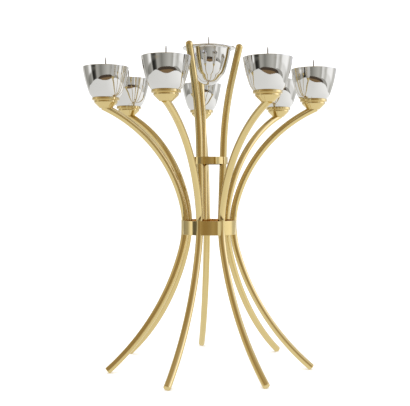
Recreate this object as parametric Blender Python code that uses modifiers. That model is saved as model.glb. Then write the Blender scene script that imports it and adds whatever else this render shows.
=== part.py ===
"""Tabletop candelabra: seven bent brass tubes that are both legs and arms, tied at the waist.

Seven tubes stand on the table, lean in to a band at the waist and sweep out again to seven
open bowls. Three more tubes rise from a hub inside the band and carry an eighth bowl in the
middle. A thin candle spike stands in every bowl.

Everything is in metres, +Z up. The origin is on the centre line, at table height. The first
arm and the first rod both lie over +X.
"""

import math

import bmesh
import bpy
from mathutils import Vector

# ---------------------------------------------------------------- driving dimensions
ARM_COUNT = 7
ROD_COUNT = 3
MESH_GAP = 0.0003            # clearance kept between touching pieces

TUBE_RADIUS = 0.00635        # half-inch tube, used for the arms and the rods
BORE_RADIUS = 0.00535
TUBE_SIDES_RESOLUTION = 4    # bevel resolution: twelve sides
BORE_SIDES_RESOLUTION = 2    # eight sides

# Arm centre line: two tangent arcs above the waist and two below it.
WAIST_RADIUS = 0.0446
WAIST_HEIGHT = 0.2614
UPPER_BEND = (0.1448, math.radians(13.3))    # radius, turn
UPPER_SWEEP_RADIUS = 0.2528
LOWER_BEND = (0.1785, math.radians(15.2))
LOWER_SWEEP_RADIUS = 0.4150
SWEEP_STEP = math.radians(5.5)
BOWL_CIRCLE_RADIUS = 0.1882
ARM_PAST_BOWL_AXIS = 0.0053
ARM_SLUG_LENGTH = 0.032      # solid stretch at the bowl end

FOOT_FLANGE = 0.0030
FOOT_EDGE_RADIUS = 0.0020    # rounding of the foot cap's edge
FOOT_FLAT_DEPTH = 0.0008     # ground off the lowest point so that the foot rests on a flat
SPIGOT_LENGTH = 0.0080

# Outer bowls, their collars and their spikes.
BOWL_OUTSIDE = (             # depth below the rim, outer radius
    (0.0000, 0.0402),
    (0.0159, 0.0374),
    (0.0309, 0.0336),
    (0.0459, 0.0284),
    (0.0533, 0.0230),        # the collar's top edge
    (0.0609, 0.0166),
    (0.0649, 0.0108),
    (0.0669, 0.0070),
)
BOWL_RADIUS = BOWL_OUTSIDE[0][1]
BOWL_DEPTH, BOWL_FLOOR_RADIUS = BOWL_OUTSIDE[-1]
BOWL_WALL = 0.0010
BOWL_HOLE_RADIUS = 0.0020
BOWL_RIM_HEIGHT = 0.5362
BOWL_STEPS = 18
CAP_STEPS = 12
COLLAR_TOP = BOWL_RIM_HEIGHT - BOWL_OUTSIDE[4][0]
COLLAR_STEP = 0.4788
COLLAR_CONE_TOP = 0.4748
COLLAR_BOTTOM = 0.4650
COLLAR_RADIUS = 0.0238
COLLAR_STEP_BEVEL = 0.0006
COLLAR_NECK_RADIUS = 0.0204
COLLAR_FOOT_RADIUS = 0.0104
SPIKE_ABOVE_RIM = 0.0179
CENTRE_SPIKE_ABOVE_RIM = 0.0207
SPIKE_RADIUS = 0.0012
SPIKE_TIP_RADIUS = 0.0005
SPIKE_TAPER = 0.0060         # length of the tapered end
SPIKE_FLANGE_RADIUS = 0.0060
SPIKE_FLANGE_THICKNESS = 0.0016
SPIKE_TAIL_RADIUS = 0.0016
SPIKE_TAIL_LENGTH = 0.0046

# Centre: hub, rods, spacer ring, carrier ring and bowl.
WAIST_BAND_RADIUS = 0.0504
WAIST_BAND_WALL = 0.0015
WAIST_BAND_BOTTOM = 0.2420
WAIST_BAND_TOP = 0.2674
HUB_BOTTOM = 0.2490
HUB_THICKNESS = 0.0030
HUB_RADIUS = 0.0379
HUB_HOLE_RADIUS = 0.0024
ROD_FOOT_RADIUS = 0.0225     # distance of a rod's foot from the centre line
ROD_LEAN = math.radians(1.75)
ROD_BEND_HEIGHT = 0.4030
ROD_BEND_RADIUS = 0.6200
ROD_TOP_LEAN = math.radians(12.9)
ROD_TOP = 0.5850
ROD_SLUG_LENGTH = 0.0150
ROD_HOLE_RADIUS = 0.0026
ROD_CAP_FLANGE = 0.0020
ROD_CAP_DOME = 0.0056
SCREW_RADIUS = 0.0020
SCREW_HEAD_RADIUS = 0.0042
SCREW_HEAD_HEIGHT = 0.0025
SCREW_HOLE_DEPTH = 0.0120
SCREW_LENGTH = 0.0100       # above the hub plate
CUT_THROUGH = 0.0050         # how far a cutter runs past the face it cuts
SPACER_RADIUS = 0.0345
SPACER_WALL = 0.0012
SPACER_BOTTOM = 0.3687
SPACER_TOP = 0.3817
CENTRE_RIM_HEIGHT = 0.5793
CARRIER_RADIUS = 0.0479
CARRIER_THICKNESS = 0.0015
CARRIER_COVE = 0.0032        # radius of the hollow curve under the ring
CARRIER_SKIRT = 0.0007       # thickness of the skirt at the curve's lower end

BRASS = ("polished_brass", (0.83, 0.62, 0.27, 1.0), 0.12)
NICKEL = ("polished_nickel", (0.80, 0.79, 0.76, 1.0), 0.06)
STEEL = ("plain_steel", (0.56, 0.56, 0.58, 1.0), 0.30)


# ---------------------------------------------------------------- scene and materials
def clear_scene():
    for item in list(bpy.data.objects):
        bpy.data.objects.remove(item, do_unlink=True)


def new_collection(name):
    collection = bpy.data.collections.new(name)
    bpy.context.scene.collection.children.link(collection)
    return collection


def make_material(spec, node_name):
    base_name, colour, roughness = spec
    material = bpy.data.materials.new(base_name + "_" + node_name)
    material.use_nodes = True
    shader = material.node_tree.nodes["Principled BSDF"]
    shader.inputs["Base Color"].default_value = colour
    shader.inputs["Metallic"].default_value = 1.0
    shader.inputs["Roughness"].default_value = roughness
    return material


# ---------------------------------------------------------------- centre lines
def arc_points(start, heading, radius, turn, up):
    """Points (distance from the centre line, height) of an arc that curls outwards.

    heading is the angle from the vertical at the start and up is +1 for an arc that climbs
    and -1 for one that goes down. The start point itself is left out.
    """
    steps = max(2, math.ceil(turn / SWEEP_STEP))
    points = []
    for i in range(1, steps + 1):
        angle = heading + turn * i / steps
        out = start[0] + radius * (math.cos(heading) - math.cos(angle))
        height = start[1] + up * radius * (math.sin(angle) - math.sin(heading))
        points.append((out, height))
    return points


def foot_lean():
    """Angle from the vertical at which an arm meets the table."""
    bend_radius, bend_turn = LOWER_BEND
    drop = WAIST_HEIGHT - bend_radius * math.sin(bend_turn)
    lean = math.asin(math.sin(bend_turn) + drop / LOWER_SWEEP_RADIUS)
    for _ in range(20):
        face_height = (TUBE_RADIUS - FOOT_EDGE_RADIUS) * math.sin(lean)
        face_height += FOOT_EDGE_RADIUS * (1.0 - math.cos(lean)) - FOOT_FLAT_DEPTH
        lean = math.asin(math.sin(bend_turn) + (drop - face_height) / LOWER_SWEEP_RADIUS)
    return lean


def bowl_end_lean():
    """Angle from the vertical at an arm's upper end."""
    bend_radius, bend_turn = UPPER_BEND
    reach = BOWL_CIRCLE_RADIUS + ARM_PAST_BOWL_AXIS - WAIST_RADIUS
    reach -= bend_radius * (1.0 - math.cos(bend_turn))
    return math.acos(math.cos(bend_turn) - reach / UPPER_SWEEP_RADIUS)


def arm_line():
    """Arm centre line from the outside of the foot cap up to the end under the bowl."""
    waist = (WAIST_RADIUS, WAIST_HEIGHT)
    lower = arc_points(waist, 0.0, *LOWER_BEND, -1)
    sweep = foot_lean() - LOWER_BEND[1]
    lower += arc_points(lower[-1], LOWER_BEND[1], LOWER_SWEEP_RADIUS, sweep, -1)
    upper = arc_points(waist, 0.0, *UPPER_BEND, 1)
    sweep = bowl_end_lean() - UPPER_BEND[1]
    upper += arc_points(upper[-1], UPPER_BEND[1], UPPER_SWEEP_RADIUS, sweep, 1)
    return lower[::-1] + [waist] + upper


def rod_line():
    """Rod centre line from just above the hub up to the outside of its cap."""
    end_tilt = TUBE_RADIUS * math.sin(ROD_LEAN)
    foot_height = HUB_BOTTOM + HUB_THICKNESS + MESH_GAP + end_tilt
    rise = ROD_BEND_HEIGHT - foot_height
    bend_start = (ROD_FOOT_RADIUS + rise * math.tan(ROD_LEAN), ROD_BEND_HEIGHT)
    points = [(ROD_FOOT_RADIUS, foot_height), bend_start]
    turn = ROD_TOP_LEAN - ROD_LEAN
    steps = 5
    for i in range(1, steps + 1):
        angle = ROD_LEAN + turn * i / steps
        out = bend_start[0] + ROD_BEND_RADIUS * (math.cos(ROD_LEAN) - math.cos(angle))
        height = bend_start[1] + ROD_BEND_RADIUS * (math.sin(angle) - math.sin(ROD_LEAN))
        points.append((out, height))
    last = points[-1]
    rise = ROD_TOP - last[1]
    points.append((last[0] + rise * math.tan(ROD_TOP_LEAN), ROD_TOP))
    return points


def shorten(points, from_start, from_end):
    """The same line with a length taken off each end."""
    for amount in (from_start, from_end):
        points = list(points)
        left = amount
        while left > 0.0:
            a = Vector(points[0])
            b = Vector(points[1])
            span = (b - a).length
            if span > left:
                points[0] = tuple(a + (b - a) * (left / span))
                left = 0.0
            else:
                points.pop(0)
                left -= span
        points.reverse()
    return points


def end_lean(points):
    """Angle from the vertical of a line's last stretch."""
    (r0, z0), (r1, z1) = points[-2], points[-1]
    return math.atan2(r1 - r0, z1 - z0)


# ---------------------------------------------------------------- shape builders
def add_object(name, mesh, collection):
    item = bpy.data.objects.new(name, mesh)
    collection.objects.link(item)
    return item


def bake(item):
    """Replaces an object's mesh by its evaluated one, and drops its modifiers."""
    bpy.context.view_layer.update()
    depsgraph = bpy.context.evaluated_depsgraph_get()
    mesh = bpy.data.meshes.new_from_object(item.evaluated_get(depsgraph))
    mesh.name = item.name
    item.modifiers.clear()
    item.data = mesh
    return item


def smooth(item, degrees=35.0):
    item.data.shade_smooth()
    item.data.set_sharp_from_angle(angle=math.radians(degrees))


def swept(name, points, radius, resolution, collection):
    """A round bar along points in the XZ plane, as a closed mesh."""
    curve = bpy.data.curves.new(name, "CURVE")
    curve.dimensions = "3D"
    curve.bevel_depth = radius
    curve.bevel_resolution = resolution
    curve.use_fill_caps = True
    spline = curve.splines.new("POLY")
    spline.points.add(len(points) - 1)
    for point, (out, height) in zip(spline.points, points):
        point.co = (out, 0.0, height, 1.0)
    guide = add_object(name + "_line", curve, collection)
    bpy.context.view_layer.update()
    depsgraph = bpy.context.evaluated_depsgraph_get()
    mesh = bpy.data.meshes.new_from_object(guide.evaluated_get(depsgraph))
    bm = bmesh.new()
    bm.from_mesh(mesh)
    bmesh.ops.remove_doubles(bm, verts=bm.verts, dist=0.000001)
    bmesh.ops.recalc_face_normals(bm, faces=bm.faces)
    bm.to_mesh(mesh)
    bm.free()
    bpy.data.objects.remove(guide, do_unlink=True)
    return add_object(name, mesh, collection)


def turned(name, profile, steps, collection, closed=True):
    """A turned piece: profile points (radius, height), down the outside first."""
    mesh = bpy.data.meshes.new(name)
    count = len(profile)
    edges = [(i, i + 1) for i in range(count - 1)]
    if closed:
        edges.append((count - 1, 0))
    mesh.from_pydata([(r, 0.0, z) for r, z in profile], edges, [])
    item = add_object(name, mesh, collection)
    screw = item.modifiers.new("turn", "SCREW")
    screw.steps = steps
    screw.render_steps = steps
    screw.use_merge_vertices = True
    screw.merge_threshold = 0.00001
    return bake(item)


def cut(target, cutter):
    """Takes one shape out of another and removes the cutter."""
    cutter.hide_render = True
    cutter.display_type = "WIRE"
    boolean = target.modifiers.new("cut", "BOOLEAN")
    boolean.operation = "DIFFERENCE"
    boolean.solver = "EXACT"
    boolean.object = cutter
    bake(target)
    bpy.data.objects.remove(cutter, do_unlink=True)


def upright_cylinder(name, radius, bottom, top, centre, steps, collection):
    mesh = bpy.data.meshes.new(name)
    bm = bmesh.new()
    bmesh.ops.create_cone(
        bm, cap_ends=True, segments=steps, radius1=radius, radius2=radius, depth=top - bottom
    )
    bmesh.ops.translate(bm, verts=bm.verts, vec=(centre[0], centre[1], 0.5 * (top + bottom)))
    bm.to_mesh(mesh)
    bm.free()
    return add_object(name, mesh, collection)


# ---------------------------------------------------------------- profiles
def bowl_profile():
    """Closed outline of the spun bowl, with its rim at height zero."""
    outside = [(radius, -depth) for depth, radius in BOWL_OUTSIDE]
    inside = []
    shrink = (BOWL_DEPTH - BOWL_WALL) / BOWL_DEPTH
    for depth, radius in BOWL_OUTSIDE[::-1]:
        inside.append((max(radius - BOWL_WALL, BOWL_FLOOR_RADIUS - MESH_GAP), -depth * shrink))
    floor_hole = [(BOWL_HOLE_RADIUS, outside[-1][1]), (BOWL_HOLE_RADIUS, inside[0][1])]
    return outside + floor_hole + inside


def collar_profile(grow=0.0):
    """Outer side of the collar, top to bottom. grow moves it outwards on all sides."""
    return [
        (COLLAR_RADIUS + grow, COLLAR_TOP + grow),
        (COLLAR_RADIUS + grow, COLLAR_STEP - grow),
        (COLLAR_NECK_RADIUS + grow, COLLAR_STEP - COLLAR_STEP_BEVEL - grow),
        (COLLAR_NECK_RADIUS + grow, COLLAR_CONE_TOP - grow),
        (COLLAR_FOOT_RADIUS + grow, COLLAR_BOTTOM - grow),
    ]


def collar_seat():
    """Inner side of the collar, bottom to top: the bowl's own outline plus a gap."""
    seat = []
    for depth, radius in BOWL_OUTSIDE[:3:-1]:
        height = BOWL_RIM_HEIGHT - depth - MESH_GAP
        seat.append((radius + MESH_GAP, height))
    seat[-1] = (seat[-1][0], COLLAR_TOP)
    return seat


def spike_profile(floor, tip, tail):
    """A needle on a round flange with a threaded tail. floor is the flange's underside."""
    flange_top = floor + SPIKE_FLANGE_THICKNESS
    return [
        (0.0, tip),
        (SPIKE_TIP_RADIUS, tip - 0.0003),
        (SPIKE_RADIUS, tip - SPIKE_TAPER),
        (SPIKE_RADIUS, flange_top),
        (SPIKE_FLANGE_RADIUS, flange_top),
        (SPIKE_FLANGE_RADIUS, floor),
        (SPIKE_TAIL_RADIUS, floor),
        (SPIKE_TAIL_RADIUS, floor - tail),
        (0.0, floor - tail),
    ]


def quarter_turn(edge_radius, drop, steps):
    """Rounded edge from the flat middle of a cap's face down to its side."""
    points = []
    for i in range(1, steps + 1):
        angle = 0.5 * math.pi * i / steps
        out = TUBE_RADIUS - edge_radius * (1.0 - math.sin(angle))
        points.append((out, -drop * (1.0 - math.cos(angle))))
    return points


def end_cap_profile(head, flange):
    """A cap for a tube's end: a shaped head with its tip at height zero, a flange and a spigot."""
    under = head[-1][1] - flange
    spigot = BORE_RADIUS * math.cos(math.pi / 8) - MESH_GAP
    return head + [
        (TUBE_RADIUS, under),
        (spigot, under),
        (spigot, under - SPIGOT_LENGTH),
        (0.0, under - SPIGOT_LENGTH),
    ]


def foot_cap_profile():
    flat = TUBE_RADIUS - FOOT_EDGE_RADIUS
    head = [(0.0, 0.0), (flat, 0.0)] + quarter_turn(FOOT_EDGE_RADIUS, FOOT_EDGE_RADIUS, 3)
    return end_cap_profile(head, FOOT_FLANGE - FOOT_EDGE_RADIUS)


def rod_cap_profile():
    head = [(0.0, 0.0)] + quarter_turn(TUBE_RADIUS, ROD_CAP_DOME, 4)
    return end_cap_profile(head, ROD_CAP_FLANGE)


def spacer_profile():
    inner = SPACER_RADIUS - SPACER_WALL
    return [
        (SPACER_RADIUS, SPACER_TOP),
        (SPACER_RADIUS, SPACER_BOTTOM),
        (inner, SPACER_BOTTOM),
        (inner, SPACER_TOP),
    ]


def carrier_profile():
    """Flat ring with a hollow curve under it that runs into a skirt round the bowl."""
    top = CENTRE_RIM_HEIGHT
    under = top - CARRIER_THICKNESS
    skirt_end = under - CARRIER_COVE
    depth, radius = BOWL_OUTSIDE[1]
    taper = (BOWL_RADIUS - radius) / depth
    skirt_seat = BOWL_RADIUS - taper * (top - skirt_end) + MESH_GAP
    skirt_outside = skirt_seat + CARRIER_SKIRT
    profile = [(CARRIER_RADIUS, top), (CARRIER_RADIUS, under)]
    for i in range(4):
        angle = 0.5 * math.pi * i / 3
        out = skirt_outside + CARRIER_COVE * (1.0 - math.sin(angle))
        profile.append((out, under - CARRIER_COVE * (1.0 - math.cos(angle))))
    return profile + [(skirt_seat, skirt_end), (BOWL_RADIUS + MESH_GAP, top)]


# ---------------------------------------------------------------- pieces in the XZ plane
def make_arm(workshop):
    """Bent tube, bored up from its foot and coped to sit under the collar."""
    whole = arm_line()
    line = shorten(whole, FOOT_FLANGE + MESH_GAP, 0.0)
    arm = swept("arm", line, TUBE_RADIUS, TUBE_SIDES_RESOLUTION, workshop)
    bore_line = shorten(whole, 0.0, ARM_SLUG_LENGTH)
    bore = swept("bore", bore_line, BORE_RADIUS, BORE_SIDES_RESOLUTION, workshop)
    cut(arm, bore)
    collar_room = [(0.0, COLLAR_TOP)] + collar_profile(MESH_GAP)
    collar_room.append((0.0, COLLAR_BOTTOM - MESH_GAP))
    envelope = turned("collar_room", collar_room, BOWL_STEPS, workshop, closed=False)
    envelope.location.x = BOWL_CIRCLE_RADIUS
    cut(arm, envelope)
    smooth(arm)
    return arm


def place_on_line_end(item, point, lean):
    """Sets a turned piece's tip at a point of the XZ plane, leaning out by an angle."""
    item.location = (point[0], 0.0, point[1])
    item.rotation_euler = (0.0, lean, 0.0)


def make_foot_cap(workshop):
    """Flat cap that closes the foot, with its lowest corner ground to stand flat."""
    cap = turned("foot_cap", foot_cap_profile(), CAP_STEPS, workshop, closed=False)
    line = arm_line()[::-1]
    place_on_line_end(cap, line[-1], end_lean(line))
    bpy.ops.mesh.primitive_cube_add(size=0.1, location=(line[-1][0], 0.0, -0.05))
    cut(cap, bpy.context.object)
    smooth(cap)
    return cap


def make_collar(workshop):
    """Stepped cone that the bowl sits in, with a tapped hole for the spike's tail."""
    bottom = COLLAR_BOTTOM
    hole = BOWL_HOLE_RADIUS
    profile = collar_profile() + [(hole, bottom), (hole, collar_seat()[0][1])] + collar_seat()
    collar = turned("collar", profile, BOWL_STEPS, workshop)
    collar.location.x = BOWL_CIRCLE_RADIUS
    smooth(collar)
    return collar


def make_bowl(workshop):
    bowl = turned("bowl", bowl_profile(), BOWL_STEPS, workshop)
    smooth(bowl)
    return bowl


def make_spike(workshop, name, rim, above_rim, tail):
    floor = rim - BOWL_DEPTH + BOWL_WALL + MESH_GAP
    spike = turned(name, spike_profile(floor, rim + above_rim, tail), 8, workshop, closed=False)
    smooth(spike)
    return spike


def make_waist_strap(workshop):
    """The stretch of the waist band between the first two arms, coped to both."""
    inner = WAIST_BAND_RADIUS - WAIST_BAND_WALL
    profile = [
        (WAIST_BAND_RADIUS, WAIST_BAND_TOP),
        (WAIST_BAND_RADIUS, WAIST_BAND_BOTTOM),
        (inner, WAIST_BAND_BOTTOM),
        (inner, WAIST_BAND_TOP),
    ]
    mesh = bpy.data.meshes.new("waist_strap")
    edges = [(0, 1), (1, 2), (2, 3), (3, 0)]
    mesh.from_pydata([(r, 0.0, z) for r, z in profile], edges, [(0, 3, 2, 1)])
    strap = add_object("waist_strap", mesh, workshop)
    screw = strap.modifiers.new("turn", "SCREW")
    screw.angle = 2 * math.pi / ARM_COUNT
    screw.steps = 6
    screw.render_steps = 6
    screw.use_merge_vertices = True
    screw.merge_threshold = 0.00001
    bake(strap)
    close_sweep_ends(strap.data)
    fat_radius = (TUBE_RADIUS + MESH_GAP) / math.cos(math.pi / 12)
    near_waist = [p for p in arm_line() if abs(p[1] - WAIST_HEIGHT) < 0.06]
    for side in (0, 1):
        fat_arm = swept("fat_arm", near_waist, fat_radius, TUBE_SIDES_RESOLUTION, workshop)
        fat_arm.rotation_euler.z = side * 2 * math.pi / ARM_COUNT
        cut(strap, fat_arm)
    smooth(strap)
    return strap


def close_sweep_ends(mesh):
    """Leaves one outward face on each open end of a partly turned strip."""
    bm = bmesh.new()
    bm.from_mesh(mesh)
    bmesh.ops.delete(bm, geom=[f for f in bm.faces if f.normal.length < 0.5], context="FACES")
    bmesh.ops.holes_fill(bm, edges=[e for e in bm.edges if e.is_boundary], sides=4)
    bmesh.ops.recalc_face_normals(bm, faces=bm.faces)
    bm.to_mesh(mesh)
    bm.free()


def make_rod(workshop):
    """Straight-then-bent tube: bored down from the top, with a screw hole in its foot."""
    whole = rod_line()
    line = shorten(whole, 0.0, ROD_CAP_DOME + ROD_CAP_FLANGE + MESH_GAP)
    rod = swept("rod", line, TUBE_RADIUS, TUBE_SIDES_RESOLUTION, workshop)
    bore_line = shorten(whole, ROD_SLUG_LENGTH, 0.0)
    cut(rod, swept("bore", bore_line, BORE_RADIUS, BORE_SIDES_RESOLUTION, workshop))
    foot = whole[0][1]
    hole_top = foot + SCREW_HOLE_DEPTH
    centre = (ROD_FOOT_RADIUS, 0.0)
    hole = (ROD_HOLE_RADIUS, foot - CUT_THROUGH, hole_top, centre, 8)
    cut(rod, upright_cylinder("hole", *hole, workshop))
    smooth(rod)
    return rod


def make_rod_cap(workshop):
    cap = turned("rod_cap", rod_cap_profile(), CAP_STEPS, workshop, closed=False)
    line = rod_line()
    place_on_line_end(cap, line[-1], end_lean(line))
    smooth(cap, 50.0)
    return cap


def rod_foot_centres():
    centres = []
    for i in range(ROD_COUNT):
        angle = 2 * math.pi * i / ROD_COUNT
        centres.append((ROD_FOOT_RADIUS * math.cos(angle), ROD_FOOT_RADIUS * math.sin(angle)))
    return centres


def make_hub_plate(collection):
    """Round plate inside the waist band, brazed to the arms, that carries the rods."""
    top = HUB_BOTTOM + HUB_THICKNESS
    plate = upright_cylinder("hub_plate", HUB_RADIUS, HUB_BOTTOM, top, (0.0, 0.0), 28, collection)
    for centre in rod_foot_centres():
        hole = (HUB_HOLE_RADIUS, HUB_BOTTOM - CUT_THROUGH, top + CUT_THROUGH, centre, 8)
        cut(plate, upright_cylinder("screw_hole", *hole, collection))
    smooth(plate)
    return plate


def make_hub_screw(workshop):
    """Screw that comes up through the hub plate into a rod's foot."""
    head_top = HUB_BOTTOM - MESH_GAP
    shank_top = HUB_BOTTOM + HUB_THICKNESS + SCREW_LENGTH
    profile = [
        (0.0, shank_top),
        (SCREW_RADIUS, shank_top),
        (SCREW_RADIUS, head_top),
        (SCREW_HEAD_RADIUS, head_top),
        (SCREW_HEAD_RADIUS, head_top - 0.6 * SCREW_HEAD_HEIGHT),
        (0.6 * SCREW_HEAD_RADIUS, head_top - SCREW_HEAD_HEIGHT),
        (0.0, head_top - SCREW_HEAD_HEIGHT),
    ]
    screw = turned("hub_screw", profile, 8, workshop, closed=False)
    screw.location.x = ROD_FOOT_RADIUS
    smooth(screw)
    return screw


def make_ring(name, profile, steps, collection):
    ring = turned(name, profile, steps, collection)
    smooth(ring)
    return ring


# ---------------------------------------------------------------- assembly
def station(name, angle, collection):
    """An empty on the centre line that turns its children round to their place."""
    empty = bpy.data.objects.new(name, None)
    empty.rotation_euler.z = angle
    collection.objects.link(empty)
    return empty


def repeat(prototype, name, spec, parent, collection):
    """A copy of a prototype piece, on a station, with a material of its own."""
    piece = bpy.data.objects.new(name, prototype.data.copy())
    piece.location = prototype.location
    piece.rotation_euler = prototype.rotation_euler
    piece.parent = parent
    collection.objects.link(piece)
    paint(piece, spec)
    return piece


def paint(piece, spec):
    piece.data.materials.clear()
    piece.data.materials.append(make_material(spec, piece.name))


def build():
    clear_scene()
    parts = new_collection("tabletop_candelabra")
    workshop = new_collection("cutters_and_patterns")

    bowl = make_bowl(workshop)
    outer_bowl = add_object("outer_bowl", bowl.data, workshop)
    outer_bowl.location = (BOWL_CIRCLE_RADIUS, 0.0, BOWL_RIM_HEIGHT)
    spike = make_spike(workshop, "spike", BOWL_RIM_HEIGHT, SPIKE_ABOVE_RIM, SPIKE_TAIL_LENGTH)
    spike.location.x = BOWL_CIRCLE_RADIUS
    round_the_circle = (
        ("arm", make_arm(workshop), BRASS),
        ("foot_cap", make_foot_cap(workshop), BRASS),
        ("collar", make_collar(workshop), BRASS),
        ("bowl", outer_bowl, NICKEL),
        ("spike", spike, NICKEL),
        ("waist_strap", make_waist_strap(workshop), BRASS),
    )
    for i in range(ARM_COUNT):
        place = station(f"arm_station_{i + 1}", 2 * math.pi * i / ARM_COUNT, parts)
        for name, prototype, spec in round_the_circle:
            repeat(prototype, f"{name}_{i + 1}", spec, place, parts)

    round_the_hub = (
        ("rod", make_rod(workshop), BRASS),
        ("rod_cap", make_rod_cap(workshop), BRASS),
        ("hub_screw", make_hub_screw(workshop), STEEL),
    )
    for i in range(ROD_COUNT):
        place = station(f"rod_station_{i + 1}", 2 * math.pi * i / ROD_COUNT, parts)
        for name, prototype, spec in round_the_hub:
            repeat(prototype, f"{name}_{i + 1}", spec, place, parts)

    centre_bowl = add_object("centre_bowl", bowl.data.copy(), parts)
    centre_bowl.location.z = CENTRE_RIM_HEIGHT
    paint(centre_bowl, NICKEL)
    tail = BOWL_WALL + MESH_GAP
    paint(make_spike(parts, "centre_spike", CENTRE_RIM_HEIGHT, CENTRE_SPIKE_ABOVE_RIM, tail), NICKEL)
    paint(make_hub_plate(parts), BRASS)
    paint(make_ring("spacer_ring", spacer_profile(), 32, parts), BRASS)
    paint(make_ring("carrier_ring", carrier_profile(), 40, parts), NICKEL)

    for pattern in list(workshop.objects):
        bpy.data.objects.remove(pattern, do_unlink=True)
    bpy.data.collections.remove(workshop)


build()
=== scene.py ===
"""Looks for the tabletop candelabra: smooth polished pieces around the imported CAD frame."""

import math

import bmesh
import bpy
from mathutils import Matrix, Vector


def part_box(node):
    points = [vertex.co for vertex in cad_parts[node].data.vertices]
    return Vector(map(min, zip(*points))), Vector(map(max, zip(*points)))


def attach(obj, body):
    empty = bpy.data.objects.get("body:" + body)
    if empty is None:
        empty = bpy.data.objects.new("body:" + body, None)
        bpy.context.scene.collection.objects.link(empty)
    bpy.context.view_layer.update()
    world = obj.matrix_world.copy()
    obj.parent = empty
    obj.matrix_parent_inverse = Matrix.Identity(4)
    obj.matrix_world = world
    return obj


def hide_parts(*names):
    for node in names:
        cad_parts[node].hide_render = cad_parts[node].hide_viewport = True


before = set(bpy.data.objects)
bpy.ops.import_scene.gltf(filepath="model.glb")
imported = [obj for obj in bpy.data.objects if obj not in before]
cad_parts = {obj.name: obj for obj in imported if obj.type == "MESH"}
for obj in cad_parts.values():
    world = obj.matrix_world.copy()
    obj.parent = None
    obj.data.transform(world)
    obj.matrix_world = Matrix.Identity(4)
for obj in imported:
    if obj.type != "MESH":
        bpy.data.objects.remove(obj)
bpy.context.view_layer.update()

# ---------------------------------------------------------------- sizes, in metres
ARM_COUNT = 7
ROD_COUNT = 3
TUBE_RADIUS = 0.00635
SNUG = 0.00002               # clearance where a piece meets its neighbour

WAIST_RADIUS = 0.0446
WAIST_HEIGHT = 0.2614
UPPER_BEND = (0.1448, math.radians(13.3))    # radius, turn
UPPER_SWEEP_RADIUS = 0.2528
LOWER_BEND = (0.1785, math.radians(15.2))
LOWER_SWEEP_RADIUS = 0.4150
ARM_PAST_BOWL_AXIS = 0.0053
FOOT_FLANGE = 0.0030
FOOT_EDGE_RADIUS = 0.0020
FOOT_FLAT_DEPTH = 0.0008

BOWL_OUTSIDE = (             # depth below the rim, outer radius
    (0.0000, 0.0402),
    (0.0159, 0.0374),
    (0.0309, 0.0336),
    (0.0459, 0.0284),
    (0.0533, 0.0230),
    (0.0609, 0.0166),
    (0.0649, 0.0108),
    (0.0669, 0.0070),
)
BOWL_WALL = 0.0010
BOWL_LIP_ROUND = 0.00035
BOWL_HOLE_RADIUS = 0.0018
COLLAR_RADIUS = 0.0238
COLLAR_NECK_RADIUS = 0.0204
COLLAR_FOOT_RADIUS = 0.0104
COLLAR_RING = 0.0041
COLLAR_NECK = 0.0040
COLLAR_HOLE_RADIUS = 0.0030

SPIKE_RADIUS = 0.0012
SPIKE_TAPER = 0.0060
SPIKE_FLANGE_RADIUS = 0.0059
SPIKE_FLANGE_THICKNESS = 0.0016
SPIKE_TAIL_RADIUS = 0.0016
SPIKE_TAIL = 0.0046

WAIST_BAND_RADIUS = 0.0504
WAIST_BAND_WALL = 0.0015
HUB_BOTTOM = 0.2490
HUB_RADIUS = 0.0379
SPACER_RADIUS = 0.0345
SPACER_WALL = 0.0012
SCREW_HEAD_RADIUS = 0.0042
SCREW_SHANK_RADIUS = 0.0020
SCREW_SOCKET_RADIUS = 0.0014
SCREW_SOCKET_DEPTH = 0.0012
ROD_FOOT_RADIUS = 0.0225
ROD_LEAN = math.radians(1.75)
ROD_BEND_HEIGHT = 0.4030
ROD_BEND_RADIUS = 0.6200
ROD_TOP_LEAN = math.radians(12.9)
ROD_TOP = 0.5850
ROD_CAP_FLANGE = 0.0020
ROD_CAP_DOME = 0.0056

CARRIER_RADIUS = 0.0479
CARRIER_THICKNESS = 0.0015
CARRIER_COVE = 0.0032
CARRIER_SKIRT = 0.0007

bowl_low, bowl_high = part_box("bowl_1")
BOWL_CIRCLE_RADIUS = 0.5 * (bowl_low.x + bowl_high.x)
BOWL_RIM_HEIGHT = bowl_high.z
CENTRE_RIM_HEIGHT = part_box("centre_bowl")[1].z
COLLAR_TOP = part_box("collar_1")[1].z
COLLAR_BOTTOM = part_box("collar_1")[0].z


# ---------------------------------------------------------------- centre lines
def arc_points(start, heading, radius, turn, up, step=math.radians(1.0)):
    """Points of an arc that leans further outwards; up is 1 for a rising arc, -1 for a falling one."""
    steps = max(3, math.ceil(turn / step))
    points = []
    for i in range(1, steps + 1):
        angle = heading + turn * i / steps
        out = start[0] + radius * (math.cos(heading) - math.cos(angle))
        height = start[1] + up * radius * (math.sin(angle) - math.sin(heading))
        points.append((out, height))
    return points


def foot_lean():
    """Lean of an arm where its ground flat meets the table."""
    bend_radius, bend_turn = LOWER_BEND
    drop = WAIST_HEIGHT - bend_radius * math.sin(bend_turn)
    lean = math.asin(math.sin(bend_turn) + drop / LOWER_SWEEP_RADIUS)
    for _ in range(20):
        face_height = (TUBE_RADIUS - FOOT_EDGE_RADIUS) * math.sin(lean)
        face_height += FOOT_EDGE_RADIUS * (1.0 - math.cos(lean)) - FOOT_FLAT_DEPTH
        lean = math.asin(math.sin(bend_turn) + (drop - face_height) / LOWER_SWEEP_RADIUS)
    return lean


def bowl_end_lean():
    """Lean of an arm where it ends under its bowl."""
    bend_radius, bend_turn = UPPER_BEND
    reach = BOWL_CIRCLE_RADIUS + ARM_PAST_BOWL_AXIS - WAIST_RADIUS
    reach -= bend_radius * (1.0 - math.cos(bend_turn))
    return math.acos(math.cos(bend_turn) - reach / UPPER_SWEEP_RADIUS)


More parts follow.
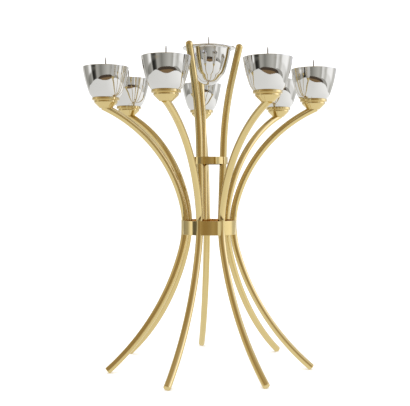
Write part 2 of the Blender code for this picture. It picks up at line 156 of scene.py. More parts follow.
def arm_line():
    """Centre line of an arm from foot to bowl, as (distance from the axis, height)."""
    waist = (WAIST_RADIUS, WAIST_HEIGHT)
    lower = arc_points(waist, 0.0, *LOWER_BEND, -1)
    lower += arc_points(lower[-1], LOWER_BEND[1], LOWER_SWEEP_RADIUS, foot_lean() - LOWER_BEND[1], -1)
    upper = arc_points(waist, 0.0, *UPPER_BEND, 1)
    upper += arc_points(upper[-1], UPPER_BEND[1], UPPER_SWEEP_RADIUS, bowl_end_lean() - UPPER_BEND[1], 1)
    return lower[::-1] + [waist] + upper


def rod_line():
    """Centre line of a rod from the hub plate to its top."""
    foot_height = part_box("rod_1")[0].z
    rise = ROD_BEND_HEIGHT - foot_height
    bend_start = (ROD_FOOT_RADIUS + rise * math.tan(ROD_LEAN), ROD_BEND_HEIGHT)
    points = []
    for i in range(12):
        share = i / 11
        out = ROD_FOOT_RADIUS + (bend_start[0] - ROD_FOOT_RADIUS) * share
        points.append((out, foot_height + rise * share))
    points += arc_points(bend_start, ROD_LEAN, ROD_BEND_RADIUS, ROD_TOP_LEAN - ROD_LEAN, 1, math.radians(0.5))
    last = points[-1]
    for i in range(1, 7):
        rise = (ROD_TOP - last[1]) * i / 6
        points.append((last[0] + rise * math.tan(ROD_TOP_LEAN), last[1] + rise))
    return points


def shorten(points, from_start, from_end):
    """The same line with a length taken off each end."""
    for amount in (from_start, from_end):
        points = list(points)
        left = amount
        while left > 0.0:
            a = Vector(points[0])
            b = Vector(points[1])
            span = (b - a).length
            if span > left:
                points[0] = tuple(a + (b - a) * (left / span))
                left = 0.0
            else:
                points.pop(0)
                left -= span
        points.reverse()
    return points


# ---------------------------------------------------------------- mesh builders
def new_object(name, mesh):
    item = bpy.data.objects.new(name, mesh)
    bpy.context.scene.collection.objects.link(item)
    return item


def mesh_from_bm(name, bm):
    bmesh.ops.recalc_face_normals(bm, faces=bm.faces)
    mesh = bpy.data.meshes.new(name)
    bm.to_mesh(mesh)
    bm.free()
    return mesh


def smooth(item, degrees=32.0):
    item.data.shade_smooth()
    item.data.set_sharp_from_angle(angle=math.radians(degrees))


def lathe(name, profile, steps, closed):
    """Turned mesh. profile is (radius, height); points on the axis become one vertex."""
    bm = bmesh.new()
    rings = []
    for radius, height in profile:
        if radius < 1e-7:
            rings.append([bm.verts.new((0.0, 0.0, height))])
            continue
        ring = []
        for i in range(steps):
            angle = 2.0 * math.pi * i / steps
            ring.append(bm.verts.new((radius * math.cos(angle), radius * math.sin(angle), height)))
        rings.append(ring)
    pairs = list(zip(rings, rings[1:]))
    if closed:
        pairs.append((rings[-1], rings[0]))
    for first, second in pairs:
        for i in range(steps):
            j = (i + 1) % steps
            across = [first[i % len(first)], first[j % len(first)]]
            across += [second[j % len(second)], second[i % len(second)]]
            corners = []
            for vert in across:
                if vert not in corners:
                    corners.append(vert)
            if len(corners) > 2:
                bm.faces.new(corners)
    return new_object(name, mesh_from_bm(name, bm))


def tube(name, points, radius, sides):
    """Round bar along points of the XZ plane, with flat ends."""
    bm = bmesh.new()
    rings = []
    count = len(points)
    for k, (out, height) in enumerate(points):
        before = Vector(points[max(0, k - 1)])
        after = Vector(points[min(count - 1, k + 1)])
        along = (after - before).normalized()
        across = Vector((along.y, -along.x))
        ring = []
        for i in range(sides):
            angle = 2.0 * math.pi * i / sides
            side = across * (radius * math.cos(angle))
            ring.append(bm.verts.new((out + side.x, radius * math.sin(angle), height + side.y)))
        rings.append(ring)
    for first, second in zip(rings, rings[1:]):
        for i in range(sides):
            j = (i + 1) % sides
            bm.faces.new((first[i], first[j], second[j], second[i]))
    bm.faces.new(rings[0])
    bm.faces.new(rings[-1])
    return new_object(name, mesh_from_bm(name, bm))


def cut(target, cutter):
    """Takes the cutter's shape out of the target and removes the cutter."""
    boolean = target.modifiers.new("cut", "BOOLEAN")
    boolean.operation = "DIFFERENCE"
    boolean.solver = "EXACT"
    boolean.object = cutter
    bpy.context.view_layer.update()
    depsgraph = bpy.context.evaluated_depsgraph_get()
    mesh = bpy.data.meshes.new_from_object(target.evaluated_get(depsgraph))
    target.modifiers.clear()
    target.data = mesh
    bpy.data.objects.remove(cutter, do_unlink=True)


def rounded(points, corner_radius, segments=3):
    """The same outline with its inner corners rounded off.

    A point close to each end of a corner keeps the shading of the flat stretches flat.
    """
    guard = 1.25
    result = [points[0]]
    for k in range(1, len(points) - 1):
        here = Vector(points[k])
        back = Vector(points[k - 1]) - here
        ahead = Vector(points[k + 1]) - here
        reach = min(corner_radius, 0.38 * back.length, 0.38 * ahead.length)
        start = here + back.normalized() * reach
        end = here + ahead.normalized() * reach
        result.append(tuple(here + (start - here) * guard))
        for i in range(segments + 1):
            share = i / segments
            a = start.lerp(here, share)
            b = here.lerp(end, share)
            result.append(tuple(a.lerp(b, share)))
        result.append(tuple(here + (end - here) * guard))
    result.append(points[-1])
    return result


def spline(points, per_span):
    """A smooth curve through the points (Catmull-Rom)."""
    padded = [2 * Vector(points[0]) - Vector(points[1])] + [Vector(p) for p in points]
    padded.append(2 * Vector(points[-1]) - Vector(points[-2]))
    result = []
    for k in range(1, len(padded) - 2):
        a, b, c, d = padded[k - 1:k + 3]
        for i in range(per_span):
            t = i / per_span
            result.append(0.5 * (2 * b + (c - a) * t + (2 * a - 5 * b + 4 * c - d) * t * t
                                 + (3 * b - a - 3 * c + d) * t ** 3))
    result.append(Vector(points[-1]))
    return [tuple(p) for p in result]


# ---------------------------------------------------------------- materials
def node(tree, kind, **inputs):
    item = tree.nodes.new(kind)
    for key, value in inputs.items():
        item.inputs[key.replace("_", " ")].default_value = value
    return item


def metal(
    name, colour, tint, roughness, spread, ripple, scratch, stretch=(1.0, 1.0, 1.0), metallic=1.0
):
    """Polished metal: faint cloudy tarnish, uneven polish, fine scratches and a slight ripple."""
    material = bpy.data.materials.new(name)
    material.use_nodes = True
    tree = material.node_tree
    shader = tree.nodes["Principled BSDF"]
    shader.inputs["Metallic"].default_value = metallic
    coords = tree.nodes.new("ShaderNodeTexCoord")
    mapping = tree.nodes.new("ShaderNodeMapping")
    mapping.inputs["Scale"].default_value = stretch
    tree.links.new(coords.outputs["Object"], mapping.inputs["Vector"])

    def noise(scale, detail, roughness_value=0.5):
        item = node(tree, "ShaderNodeTexNoise", Scale=scale, Detail=detail, Roughness=roughness_value)
        tree.links.new(mapping.outputs["Vector"], item.inputs["Vector"])
        return item

    cloud = noise(38.0, 4.0)
    mix = tree.nodes.new("ShaderNodeMix")
    mix.data_type = "RGBA"
    mix.inputs[6].default_value = (*colour, 1.0)
    mix.inputs[7].default_value = (*tint, 1.0)
    tree.links.new(cloud.outputs["Fac"], mix.inputs[0])
    tree.links.new(mix.outputs[2], shader.inputs["Base Color"])

    polish = noise(90.0, 6.0, 0.6)
    levels = node(tree, "ShaderNodeMapRange", From_Min=0.35, From_Max=0.7)
    levels.inputs["To Min"].default_value = roughness - spread
    levels.inputs["To Max"].default_value = roughness + spread
    tree.links.new(polish.outputs["Fac"], levels.inputs["Value"])
    tree.links.new(levels.outputs["Result"], shader.inputs["Roughness"])

    waves = noise(26.0, 1.0)
    slow = node(tree, "ShaderNodeBump", Strength=ripple, Distance=0.001)
    tree.links.new(waves.outputs["Fac"], slow.inputs["Height"])
    marks = noise(900.0, 3.0, 0.7)
    fine = node(tree, "ShaderNodeBump", Strength=scratch, Distance=0.00004)
    tree.links.new(marks.outputs["Fac"], fine.inputs["Height"])
    tree.links.new(slow.outputs["Normal"], fine.inputs["Normal"])
    tree.links.new(fine.outputs["Normal"], shader.inputs["Normal"])
    return material


BRASS = metal(
    "polished_brass",
    colour=(0.70, 0.56, 0.27), tint=(0.66, 0.525, 0.24),
    roughness=0.07, spread=0.025, ripple=0.02, scratch=0.03,
)
BRASS_TURNED = metal(
    "turned_brass",
    colour=(0.70, 0.56, 0.27), tint=(0.65, 0.515, 0.235),
    roughness=0.075, spread=0.025, ripple=0.02, scratch=0.05, stretch=(1.0, 1.0, 6.0),
)
NICKEL = metal(
    "mirror_nickel",
    colour=(0.68, 0.675, 0.66), tint=(0.64, 0.635, 0.62),
    roughness=0.03, spread=0.015, ripple=0.01, scratch=0.10,
)
SPIKE_NICKEL = metal(
    "satin_nickel",
    colour=(0.40, 0.395, 0.38), tint=(0.34, 0.335, 0.32),
    roughness=0.22, spread=0.04, ripple=0.01, scratch=0.15,
)
# Deep orange, partly diffuse brass for the waist band's inner faces: a painted reflection of light bounced
# back and forth between the band's brass walls.
BRASS_PAINTED_BOUNCE = metal(
    "brass_painted_bounce",
    colour=(0.84, 0.46, 0.13), tint=(0.76, 0.40, 0.10),
    roughness=0.38, spread=0.08, ripple=0.02, scratch=0.30, metallic=0.40,
)
BRASS_SATIN = metal(
    "satin_brass",
    colour=(0.72, 0.55, 0.26), tint=(0.66, 0.50, 0.23),
    roughness=0.28, spread=0.06, ripple=0.02, scratch=0.30,
)
STEEL = metal(
    "plain_steel",
    colour=(0.50, 0.50, 0.52), tint=(0.42, 0.42, 0.44),
    roughness=0.30, spread=0.08, ripple=0.02, scratch=0.40,
)


# ---------------------------------------------------------------- pieces
def finish_piece(item, material, slot, *nodes):
    item.data.materials.clear()
    item.data.materials.append(material)
    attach(item, "root")
    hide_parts(*nodes)


def place_around(pattern, base_name, count, material, slot, node_name):
    """Copies of a pattern round the centre line, each standing for its own CAD node."""
    pieces = []
    for i in range(count):
        mesh = pattern.data.copy()
        turn = Matrix.Rotation(2.0 * math.pi * i / count, 4, "Z")
        mesh.transform(turn @ pattern.matrix_world)
        piece = new_object(f"{base_name}_{i + 1}", mesh)
        finish_piece(piece, material, slot, f"{node_name}_{i + 1}")
        pieces.append(piece)
    bpy.data.objects.remove(pattern, do_unlink=True)
    return pieces


def collar_outline():
    """Outside of a collar, from its seat at the top to its foot."""
    ring_bottom = COLLAR_TOP - COLLAR_RING
    neck_bottom = ring_bottom - COLLAR_NECK
    return [
        (BOWL_OUTSIDE[4][1] + SNUG, COLLAR_TOP),
        (COLLAR_RADIUS, COLLAR_TOP),
        (COLLAR_RADIUS, ring_bottom),
        (COLLAR_NECK_RADIUS, ring_bottom - 0.0006),
        (COLLAR_NECK_RADIUS, neck_bottom),
        (COLLAR_FOOT_RADIUS, COLLAR_BOTTOM),
        (0.0, COLLAR_BOTTOM),
    ]


def make_arm():
    arm = tube("arm_pattern", shorten(arm_line(), FOOT_FLANGE + SNUG, 0.0), TUBE_RADIUS, 40)
    solid = [(0.0, COLLAR_TOP)] + collar_outline()
    envelope = lathe("envelope", solid, 64, False)
    envelope.location.x = BOWL_CIRCLE_RADIUS
    cut(arm, envelope)
    smooth(arm)
    return arm


def make_foot_cap():
    """Closed end of an arm, ground flat at the table."""
    profile = [(0.0, 0.0)]
    for i in range(9):
        angle = 0.5 * math.pi * i / 8
        out = TUBE_RADIUS - FOOT_EDGE_RADIUS * (1.0 - math.sin(angle))
        profile.append((out, -FOOT_EDGE_RADIUS * (1.0 - math.cos(angle))))
    profile += [(TUBE_RADIUS, -FOOT_FLANGE), (0.0, -FOOT_FLANGE)]
    cap = lathe("foot_cap_pattern", profile, 40, False)
    tip, before = arm_line()[0], arm_line()[1]
    lean = math.atan2(tip[0] - before[0], tip[1] - before[1])
    cap.matrix_world = Matrix.Translation((tip[0], 0.0, tip[1])) @ Matrix.Rotation(lean, 4, "Y")
    cap.data.transform(cap.matrix_world)
    cap.matrix_world = Matrix.Identity(4)
    bm = bmesh.new()
    bm.from_mesh(cap.data)
    everything = bm.verts[:] + bm.edges[:] + bm.faces[:]
    result = bmesh.ops.bisect_plane(
        bm, geom=everything, plane_co=(0, 0, 0), plane_no=(0, 0, -1), clear_outer=True
    )
    rim = [g for g in result["geom_cut"] if isinstance(g, bmesh.types.BMEdge)]
    bmesh.ops.contextual_create(bm, geom=rim)
    bmesh.ops.recalc_face_normals(bm, faces=bm.faces)
    bm.to_mesh(cap.data)
    bm.free()
    smooth(cap)
    return cap


def make_collar():
    outside = rounded(collar_outline()[:-1] + [(COLLAR_HOLE_RADIUS, COLLAR_BOTTOM)], 0.0006)
    seat = []
    for depth, radius in BOWL_OUTSIDE[:3:-1]:
        seat.append((radius + SNUG, BOWL_RIM_HEIGHT - depth - SNUG))
    profile = outside + [(COLLAR_HOLE_RADIUS, seat[0][1])] + seat[:-1]
    collar = lathe("collar_pattern", profile, 96, True)
    collar.location.x = BOWL_CIRCLE_RADIUS
    bpy.context.view_layer.update()
    smooth(collar)
    return collar


def make_bowl(name):
    """Spun bowl with its rim at height zero."""
    curve = spline(BOWL_OUTSIDE, 6)
    outside = [(radius, -depth) for depth, radius in curve]
    inside = []
    count = len(curve)
    for k in range(count - 1, -1, -1):
        here = Vector(outside[k])
        before = Vector(outside[max(0, k - 1)])
        after = Vector(outside[min(count - 1, k + 1)])
        along = (after - before).normalized()
        inward = Vector((along.y, -along.x))
        if k == 0:
            inward = Vector((-1.0, 0.0))
        if k == count - 1:
            inward = Vector((0.0, 1.0))
        inside.append(tuple(here + inward * BOWL_WALL))
    lip = []
    for share in (0.75, 0.5, 0.25):
        height = BOWL_LIP_ROUND * math.sin(math.pi * share) - 0.0001
        lip.append((outside[0][0] - BOWL_WALL * share, height))
    outside[:1] = [(outside[0][0], -0.0003), (outside[0][0] - 0.00005, -0.0006)]
    inside[-1:] = [(inside[-1][0] - 0.00005, -0.0006), (inside[-1][0], -0.0003)]
    hole = [(BOWL_HOLE_RADIUS, -BOWL_OUTSIDE[-1][0]), (BOWL_HOLE_RADIUS, inside[0][1])]
    profile = outside + hole + inside + lip
    bowl = lathe(name, profile, 128, True)
    smooth(bowl, 40.0)
    return bowl


def make_spike(name, rim, tip_height, tail):
    """Candle spike with a flange on the bowl's floor and a tail through the floor's hole."""
    floor = rim - BOWL_OUTSIDE[-1][0] + BOWL_WALL + SNUG
    top = floor + SPIKE_FLANGE_THICKNESS
    profile = [
        (0.0, tip_height),
        (0.0004, tip_height - 0.0003),
        (0.0010, tip_height - 0.5 * SPIKE_TAPER),
        (SPIKE_RADIUS, tip_height - SPIKE_TAPER),
        (SPIKE_RADIUS, top + 0.0012),
        (SPIKE_RADIUS + 0.0005, top + 0.0003),
        (SPIKE_FLANGE_RADIUS - 0.0007, top - 0.0001),
        (SPIKE_FLANGE_RADIUS, top - 0.0006),
        (SPIKE_FLANGE_RADIUS, floor),
        (SPIKE_TAIL_RADIUS, floor),
        (SPIKE_TAIL_RADIUS, floor - tail),
        (0.0, floor - tail),
    ]
    spike = lathe(name, profile, 32, False)
    smooth(spike, 50.0)
    return spike


def ring_outline(outer, inner, bottom, top, corner):
    square = [(outer, 0.5 * (bottom + top)), (outer, bottom), (inner, bottom), (inner, top), (outer, top)]
    return rounded(square + [square[0]], corner)[:-1]


def carrier_outline():
    """Flat ring with a hollow curve under it that runs into a thin skirt round the bowl."""
    top = CENTRE_RIM_HEIGHT
    under = top - CARRIER_THICKNESS
    depth, radius = BOWL_OUTSIDE[1]
    taper = (BOWL_OUTSIDE[0][1] - radius) / depth
    seat = BOWL_OUTSIDE[0][1] - taper * (CARRIER_THICKNESS + CARRIER_COVE) + 0.0003
    edge = 0.0003
    outline = [
        (CARRIER_RADIUS - edge, top),
        (CARRIER_RADIUS, top - edge),
        (CARRIER_RADIUS, under + edge),
        (CARRIER_RADIUS - edge, under),
    ]
    for i in range(13):
        angle = 0.5 * math.pi * i / 12
        out = seat + CARRIER_SKIRT + CARRIER_COVE * (1.0 - math.sin(angle))
        outline.append((out, under - CARRIER_COVE * (1.0 - math.cos(angle))))
    return outline + [(seat, under - CARRIER_COVE), (BOWL_OUTSIDE[0][1] + 0.0003, top)]


def make_strap():
    """Stretch of the waist band between two arms, coped to both of them."""
    low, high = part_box("waist_strap_1")
    inner = WAIST_BAND_RADIUS - WAIST_BAND_WALL
    outline = ring_outline(WAIST_BAND_RADIUS, inner, low.z, high.z, 0.0004)
    bm = bmesh.new()
    steps = 40
    rings = []
    for k in range(steps + 1):
        angle = 2.0 * math.pi / ARM_COUNT * k / steps
        ring = []
        for radius, height in outline:
            ring.append(bm.verts.new((radius * math.cos(angle), radius * math.sin(angle), height)))
        rings.append(ring)
    sides = len(outline)
    for first, second in zip(rings, rings[1:]):
        for i in range(sides):
            j = (i + 1) % sides
            bm.faces.new((first[i], first[j], second[j], second[i]))
    bm.faces.new(rings[0])
    bm.faces.new(rings[-1])
    strap = new_object("strap_pattern", mesh_from_bm("strap", bm))
    near_waist = [p for p in arm_line() if abs(p[1] - WAIST_HEIGHT) < 0.04]
    for side in (0, 1):
        fat_arm = tube("fat_arm", near_waist, TUBE_RADIUS + SNUG, 40)
        fat_arm.rotation_euler.z = side * 2.0 * math.pi / ARM_COUNT
        bpy.context.view_layer.update()
        cut(strap, fat_arm)
    smooth(strap)
    return strap


def make_rod():
    line = shorten(rod_line(), 0.0, ROD_CAP_DOME + ROD_CAP_FLANGE + SNUG)
    rod = tube("rod_pattern", line, TUBE_RADIUS, 40)
    smooth(rod)
    return rod


def make_rod_cap():
    profile = [(0.0, 0.0)]
    for i in range(1, 11):
        angle = 0.5 * math.pi * i / 10
        profile.append((TUBE_RADIUS * math.sin(angle), -ROD_CAP_DOME * (1.0 - math.cos(angle))))
    under = -ROD_CAP_DOME - ROD_CAP_FLANGE
    profile += [(TUBE_RADIUS, under), (0.0, under)]
    cap = lathe("rod_cap_pattern", profile, 40, False)
    (r0, z0), (r1, z1) = rod_line()[-2:]
    lean = math.atan2(r1 - r0, z1 - z0)
    cap.matrix_world = Matrix.Translation((r1, 0.0, z1)) @ Matrix.Rotation(lean, 4, "Y")
    bpy.context.view_layer.update()
    smooth(cap, 40.0)
    return cap


def make_screw():
    low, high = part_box("hub_screw_1")
    head_top = HUB_BOTTOM - SNUG
    profile = [
        (0.0, low.z),
        (0.0020, low.z + 0.0001),
        (0.0034, low.z + 0.0007),
        (0.0041, low.z + 0.0016),
        (SCREW_HEAD_RADIUS, head_top),
        (SCREW_SHANK_RADIUS, head_top),
        (SCREW_SHANK_RADIUS, high.z),
        (0.0, high.z),
    ]
    screw = lathe("screw_pattern", profile, 32, False)
    socket_top = low.z + SCREW_SOCKET_DEPTH
    below = low.z - 0.001
    wall = SCREW_SOCKET_RADIUS
    hexagon = [(0.0, socket_top), (wall, socket_top), (wall, below), (0.0, below)]
    cut(screw, lathe("socket", hexagon, 6, False))
    screw.location.x = ROD_FOOT_RADIUS
    bpy.context.view_layer.update()
    smooth(screw, 40.0)
    return screw


place_around(make_arm(), "arm_tube", ARM_COUNT, BRASS, "brass", "arm")
place_around(make_foot_cap(), "arm_foot", ARM_COUNT, BRASS_TURNED, "brass", "foot_cap")
place_around(make_collar(), "stepped_collar", ARM_COUNT, BRASS_TURNED, "brass", "collar")
outer_bowl = make_bowl("bowl_pattern")
outer_bowl.location = (BOWL_CIRCLE_RADIUS, 0.0, BOWL_RIM_HEIGHT)
bpy.context.view_layer.update()
place_around(outer_bowl, "nickel_bowl", ARM_COUNT, NICKEL, "nickel", "bowl")
outer_spike = make_spike("spike_pattern", BOWL_RIM_HEIGHT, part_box("spike_1")[1].z, SPIKE_TAIL)
outer_spike.location.x = BOWL_CIRCLE_RADIUS
bpy.context.view_layer.update()
place_around(outer_spike, "candle_spike", ARM_COUNT, SPIKE_NICKEL, "nickel", "spike")
for strap in place_around(make_strap(), "waist_band", ARM_COUNT, BRASS, "brass", "waist_strap"):
    # Inner faces get the orange brass that paints in the reflection bounced between the band's walls.
    strap.data.materials.append(BRASS_PAINTED_BOUNCE)
    for face in strap.data.polygons:
        from_axis = math.hypot(face.center.x, face.center.y)
        if from_axis < WAIST_BAND_RADIUS - 0.8 * WAIST_BAND_WALL and abs(face.normal.z) < 0.5:
            face.material_index = 1
place_around(make_rod(), "rod_tube", ROD_COUNT, BRASS, "brass", "rod")
place_around(make_rod_cap(), "rod_dome", ROD_COUNT, BRASS_TURNED, "brass", "rod_cap")
place_around(make_screw(), "socket_screw", ROD_COUNT, STEEL, "steel", "hub_screw")

centre_bowl = make_bowl("nickel_bowl_centre")
centre_bowl.location.z = CENTRE_RIM_HEIGHT
finish_piece(centre_bowl, NICKEL, "nickel", "centre_bowl")
centre_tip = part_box("centre_spike")[1].z
centre_spike = make_spike("candle_spike_centre", CENTRE_RIM_HEIGHT, centre_tip, BOWL_WALL + SNUG)
finish_piece(centre_spike, SPIKE_NICKEL, "nickel", "centre_spike")
low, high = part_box("spacer_ring")
spacer_outline = ring_outline(SPACER_RADIUS, SPACER_RADIUS - SPACER_WALL, low.z, high.z, 0.0003)
spacer = lathe("spacer_band", spacer_outline, 128, True)
smooth(spacer)
finish_piece(spacer, BRASS, "brass", "spacer_ring")
carrier = lathe("carrier_plate", carrier_outline(), 128, True)
smooth(carrier)
finish_piece(carrier, NICKEL, "nickel", "carrier_ring")
low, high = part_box("hub_plate")
hub_profile = rounded([(0.0, high.z), (HUB_RADIUS, high.z), (HUB_RADIUS, low.z), (0.0, low.z)], 0.0004)
hub = lathe("hub_disc", hub_profile, 96, False)
smooth(hub)
finish_piece(hub, BRASS_SATIN, "brass", "hub_plate")


# ---------------------------------------------------------------- stage
CAMERA_BEARING = math.radians(-81.67)
CAMERA_DISTANCE = 1.440
CAMERA_HEIGHT = 0.336
CAMERA_LENS = 69.4712        # millimetres, on a sensor 36 mm wide
PITCH_DOWN = math.radians(1.50)
YAW_LEFT = math.radians(0.273)
FLOOR_EXTENT = 30.0
ROOM_BRIGHTNESS = 1.35


def emission(name, colour, strength):
    material = bpy.data.materials.new(name)
    material.use_nodes = True
    tree = material.node_tree
    tree.nodes.clear()
    glow = node(tree, "ShaderNodeEmission", Strength=strength)
    glow.inputs["Color"].default_value = (*colour, 1.0)
    output = tree.nodes.new("ShaderNodeOutputMaterial")
    tree.links.new(glow.outputs["Emission"], output.inputs["Surface"])
    return material


def stage_polygon(name, corners, material):
    mesh = bpy.data.meshes.new(name)
    mesh.from_pydata(corners, [], [tuple(range(len(corners)))])
    item = new_object(name, mesh)
    mesh.materials.append(material)
    return item


def toward(bearing, distance, height=0.0):
    """A point seen from the centre line at a bearing and a distance.

    The bearing is in degrees: 0 is towards the camera, and it grows towards the right of the view.
    """
    angle = CAMERA_BEARING + math.radians(bearing)
    return (distance * math.cos(angle), distance * math.sin(angle), height)


floor_material = bpy.data.materials.new("pale_floor")
floor_material.use_nodes = True
floor_shader = floor_material.node_tree.nodes["Principled BSDF"]
floor_shader.inputs["Base Color"].default_value = (1.0, 1.0, 1.0, 1.0)
floor_shader.inputs["Roughness"].default_value = 0.9
floor_shader.inputs["Specular IOR Level"].default_value = 0.1
floor_corners = [(x * FLOOR_EXTENT, y * FLOOR_EXTENT, 0.0) for x, y in ((-1, -1), (1, -1), (1, 1), (-1, 1))]
floor = stage_polygon("floor", floor_corners, floor_material)
floor.visible_glossy = False

# What the polished metal sees in place of the floor: a white table of limited size, and round
# its front edge three strips, light brown, dark brown and grey; the dark brown strip is a painted shadow.
TABLE_EDGE = [               # bearing, distance
    (-150, 6.0), (-135, 4.5), (-120, 3.20), (-105, 2.60), (-90, 2.10), (-75, 1.90), (-62, 1.83),
    (-50, 1.77), (-40, 1.65), (-32, 1.53), (-20, 1.38), (-8, 1.30), (5, 1.27), (15, 1.29),
    (25, 1.35), (33, 1.41), (40, 1.48), (48, 1.54), (60, 1.61), (75, 1.72), (90, 1.87),
    (110, 2.10), (130, 3.2), (150, 5.0), (180, 8.0),
]


def reflected_polygon(name, corners, material):
    item = stage_polygon(name, corners, material)
    item.visible_camera = False
    item.visible_diffuse = False
    item.visible_shadow = False
    return item


def colour_ramp(tree, stops):
    """Colour ramp from (position, colour) pairs."""
    ramp = tree.nodes.new("ShaderNodeValToRGB")
    ramp.color_ramp.interpolation = "LINEAR"
    elements = ramp.color_ramp.elements
    while len(elements) > 1:
        elements.remove(elements[-1])
    elements[0].position = stops[0][0]
    elements[0].color = (*stops[0][1], 1.0)
    for position, colour in stops[1:]:
        elements.new(position).color = (*colour, 1.0)
    return ramp


def table_glow():
    """White, a little brighter on the side of the large soft light."""
    material = emission("table_glow", (1.0, 1.0, 1.0), 1.0)
    tree = material.node_tree
    coords = tree.nodes.new("ShaderNodeTexCoord")
    mapping = tree.nodes.new("ShaderNodeMapping")
    mapping.inputs["Rotation"].default_value = (0.0, 0.0, -CAMERA_BEARING)
    across = tree.nodes.new("ShaderNodeSeparateXYZ")
    share = node(tree, "ShaderNodeMapRange", From_Min=-2.0, From_Max=2.0)
    whites = [(0.0, (0.92, 0.92, 0.90)), (0.5, (0.98, 0.98, 0.965)), (0.9, (1.25, 1.25, 1.24))]
    levels = colour_ramp(tree, whites)
    glow = next(n for n in tree.nodes if n.type == "EMISSION")
    tree.links.new(coords.outputs["Object"], mapping.inputs["Vector"])
    tree.links.new(mapping.outputs["Vector"], across.inputs["Vector"])
    tree.links.new(across.outputs["Y"], share.inputs["Value"])
    tree.links.new(share.outputs["Result"], levels.inputs["Fac"])
    tree.links.new(levels.outputs["Color"], glow.inputs["Color"])
    return material


closed_edge = [(TABLE_EDGE[-1][0] - 360, TABLE_EDGE[-1][1])] + TABLE_EDGE
edge = spline(closed_edge, 6)[:-1]
reflected_polygon("table_reflection", [toward(bearing, distance) for bearing, distance in edge], table_glow())

STRIP_START = 1.20           # under the table, out of sight
STRIP_TIP = 1.25
STRIP_STEPS = 20


def floor_strip(name, first, last, reach, drop, colour):
    """A strip between two bearings, nearly straight along its far edge and tapered at its ends."""
    middle = 0.5 * (first + last)
    inner_row = []
    outer_row = []
    for k in range(STRIP_STEPS + 1):
        share = k / STRIP_STEPS
        bearing = first + (last - first) * share
        straight = reach / math.cos(math.radians(bearing - middle)) ** 0.55
        swell = math.sin(math.pi * share) ** 0.45
        inner_row.append(toward(bearing, STRIP_START, -drop))
        outer_row.append(toward(bearing, STRIP_TIP + (straight - STRIP_TIP) * swell, -drop))
    reflected_polygon(name, inner_row + outer_row[::-1], emission(name + "_glow", colour, 1.0))


floor_strip("floor_strip_light", -42, 48, 1.51, 0.001, (0.27, 0.175, 0.09))
# Dark brown strip: a painted shadow round the table's front edge.
floor_strip("floor_strip_shadow", -47, 60, 1.77, 0.002, (0.085, 0.062, 0.045))
floor_strip("floor_strip_grey", 28, 100, 2.02, 0.003, (0.45, 0.44, 0.41))

world = bpy.data.worlds.new("studio")
bpy.context.scene.world = world
world.use_nodes = True
room_tree = world.node_tree
room_tree.nodes.clear()
output = room_tree.nodes.new("ShaderNodeOutputWorld")
coords = room_tree.nodes.new("ShaderNodeTexCoord")
mapping = room_tree.nodes.new("ShaderNodeMapping")
mapping.inputs["Rotation"].default_value = (0.0, 0.0, -CAMERA_BEARING)
room_tree.links.new(coords.outputs["Generated"], mapping.inputs["Vector"])
radial = room_tree.nodes.new("ShaderNodeTexGradient")
radial.gradient_type = "RADIAL"
room_tree.links.new(mapping.outputs["Vector"], radial.inputs["Vector"])
separate = room_tree.nodes.new("ShaderNodeSeparateXYZ")
room_tree.links.new(mapping.outputs["Vector"], separate.inputs["Vector"])

# The room as the metal sees it. Each band lists bearings with a brightness or a colour; a
# brightness on its own becomes a nearly neutral white or grey.
LOW_WALLS = [
    (-180, 0.96), (-136, 0.88), (-124, 0.76), (-112, 0.40), (-104, 0.28), (-80, 0.40),
    (-74, 0.58), (-69, 0.34), (-66.5, 0.03), (-59, 0.03), (-53, 0.05), (-47, 0.14), (-42, 0.48),
    (-34, 0.50), (-18, 0.28), (-8, 0.40), (12, 0.60), (20, 0.66), (27, 0.58),
    (35, 0.51), (39.5, 1.05), (46.5, 1.02), (49, 0.86), (54.5, 0.84), (57.5, 0.60), (62, 0.82),
    (67, 0.80), (69.5, 1.06), (98, 1.04), (112, 0.70), (120, 0.60), (180, 0.90),
]
MIDDLE_WALLS = [
    (-180, 0.98), (-140, 0.94), (-130, 0.60), (-122, 0.36), (-114, 0.46), (-98, 0.52),
    (-91, 0.76), (-84, 1.15), (-75, 1.35), (-71, 0.70), (-68, 0.16), (-58, 0.16), (-51, 0.22),
    (-45, (0.50, 0.41, 0.28)), (-34, (0.50, 0.40, 0.24)), (-22, (0.39, 0.29, 0.15)),
    (-8, (0.39, 0.29, 0.15)), (4, (0.42, 0.33, 0.20)), (18, (0.52, 0.42, 0.27)),
    (28, (0.46, 0.37, 0.22)), (36, (0.44, 0.35, 0.21)), (39.5, 1.00), (46.5, 0.98), (50, 0.80),
    (57, 0.60), (63, 0.78), (69.5, 1.22), (98, 1.36), (108, 1.22), (118, 0.76), (150, 0.76), (180, 0.98),
]
UPPER_WALLS = [
    (-180, (0.82, 0.82, 0.80)), (-150, (0.72, 0.70, 0.67)), (-125, (0.62, 0.58, 0.51)),
    (-100, (0.74, 0.67, 0.55)), (-60, (0.76, 0.66, 0.50)), (-48, (0.52, 0.42, 0.27)),
    (-30, (0.38, 0.30, 0.18)), (-10, (0.42, 0.32, 0.19)), (5, (0.46, 0.36, 0.22)),
    (20, (0.52, 0.42, 0.29)), (35, (0.62, 0.56, 0.44)), (50, (0.82, 0.81, 0.88)),
    (62, (1.03, 1.02, 1.20)), (72, (1.38, 1.38, 1.65)), (85, (1.80, 1.80, 2.20)),
    (102, (1.90, 1.95, 2.35)), (112, (1.40, 1.43, 1.72)), (125, (1.04, 1.06, 1.28)),
    (155, (0.74, 0.73, 0.76)), (180, (0.82, 0.82, 0.80)),
]
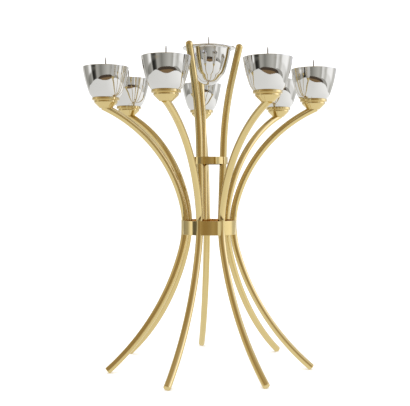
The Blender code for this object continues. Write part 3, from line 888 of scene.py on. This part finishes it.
CEILING = [
    (-180, (0.72, 0.70, 0.66)), (-160, (0.80, 0.80, 0.78)), (-140, (0.70, 0.66, 0.60)),
    (-125, (0.52, 0.46, 0.36)), (-110, (0.43, 0.345, 0.21)), (-60, (0.42, 0.325, 0.19)),
    (-30, (0.44, 0.34, 0.205)), (0, (0.46, 0.355, 0.22)), (20, (0.49, 0.40, 0.28)),
    (35, (0.57, 0.50, 0.40)), (50, (0.68, 0.66, 0.66)), (62, (0.87, 0.87, 1.00)),
    (75, (1.00, 1.02, 1.20)), (92, (1.00, 1.02, 1.14)), (105, (0.82, 0.82, 0.86)),
    (130, (0.72, 0.69, 0.68)), (180, (0.72, 0.70, 0.66)),
]


def round_the_room(stops):
    """A colour for each bearing; darker greys are slightly warmer."""
    colours = []
    for bearing, colour in stops:
        if not isinstance(colour, tuple):
            warmth = 0.10 * max(0.0, 1.2 - colour)
            colour = (colour * (1.0 + 0.2 * warmth), colour, colour * (1.0 - warmth))
        colours.append((0.5 + bearing / 360.0, colour))
    ramp = colour_ramp(room_tree, colours)
    room_tree.links.new(radial.outputs["Fac"], ramp.inputs["Fac"])
    return ramp.outputs["Color"]


def blend_by_height(low, high, below, above):
    """Mixes two colour sockets between two elevations in degrees."""
    low, high = (math.sin(math.radians(v)) for v in (low, high))
    levels = node(room_tree, "ShaderNodeMapRange", From_Min=low, From_Max=high)
    room_tree.links.new(separate.outputs["Z"], levels.inputs["Value"])
    mix = room_tree.nodes.new("ShaderNodeMix")
    mix.data_type = "RGBA"
    room_tree.links.new(levels.outputs["Result"], mix.inputs[0])
    room_tree.links.new(below, mix.inputs[6])
    if isinstance(above, tuple):
        mix.inputs[7].default_value = (*above, 1.0)
    else:
        room_tree.links.new(above, mix.inputs[7])
    return mix.outputs[2]


room = blend_by_height(-9.5, -7.0, round_the_room(LOW_WALLS), round_the_room(MIDDLE_WALLS))
room = blend_by_height(0.0, 8.0, room, round_the_room(UPPER_WALLS))
room = blend_by_height(22.0, 34.0, room, round_the_room(CEILING))
room = blend_by_height(48.0, 62.0, room, (0.555, 0.47, 0.345))
studio = node(room_tree, "ShaderNodeBackground", Strength=1.0)
room_tree.links.new(room, studio.inputs["Color"])
plain = node(room_tree, "ShaderNodeBackground", Strength=ROOM_BRIGHTNESS)
plain.inputs["Color"].default_value = (1.0, 1.0, 1.0, 1.0)
path = room_tree.nodes.new("ShaderNodeLightPath")
choose = room_tree.nodes.new("ShaderNodeMixShader")
room_tree.links.new(path.outputs["Is Glossy Ray"], choose.inputs["Fac"])
room_tree.links.new(plain.outputs["Background"], choose.inputs[1])
room_tree.links.new(studio.outputs["Background"], choose.inputs[2])
room_tree.links.new(choose.outputs["Shader"], output.inputs["Surface"])

light_data = bpy.data.lights.new("soft_top", "AREA")
light_data.shape = "DISK"
light_data.size = 1.6
light_data.energy = 12.0
light = bpy.data.objects.new("soft_top", light_data)
light.location = (-0.3, -0.6, 2.2)
light.rotation_euler = (math.radians(-12), math.radians(-8), 0.0)
light.visible_glossy = False
bpy.context.scene.collection.objects.link(light)

camera_data = bpy.data.cameras.new("camera")
camera_data.sensor_width = 36.0
camera_data.lens = CAMERA_LENS
camera = bpy.data.objects.new("camera", camera_data)
camera.location = toward(0.0, CAMERA_DISTANCE, CAMERA_HEIGHT)
camera.rotation_euler = (math.radians(90.0) - PITCH_DOWN, 0.0, CAMERA_BEARING + math.radians(90.0) + YAW_LEFT)
bpy.context.scene.collection.objects.link(camera)
bpy.context.scene.camera = camera
bpy.context.scene.view_settings.view_transform = "Standard"
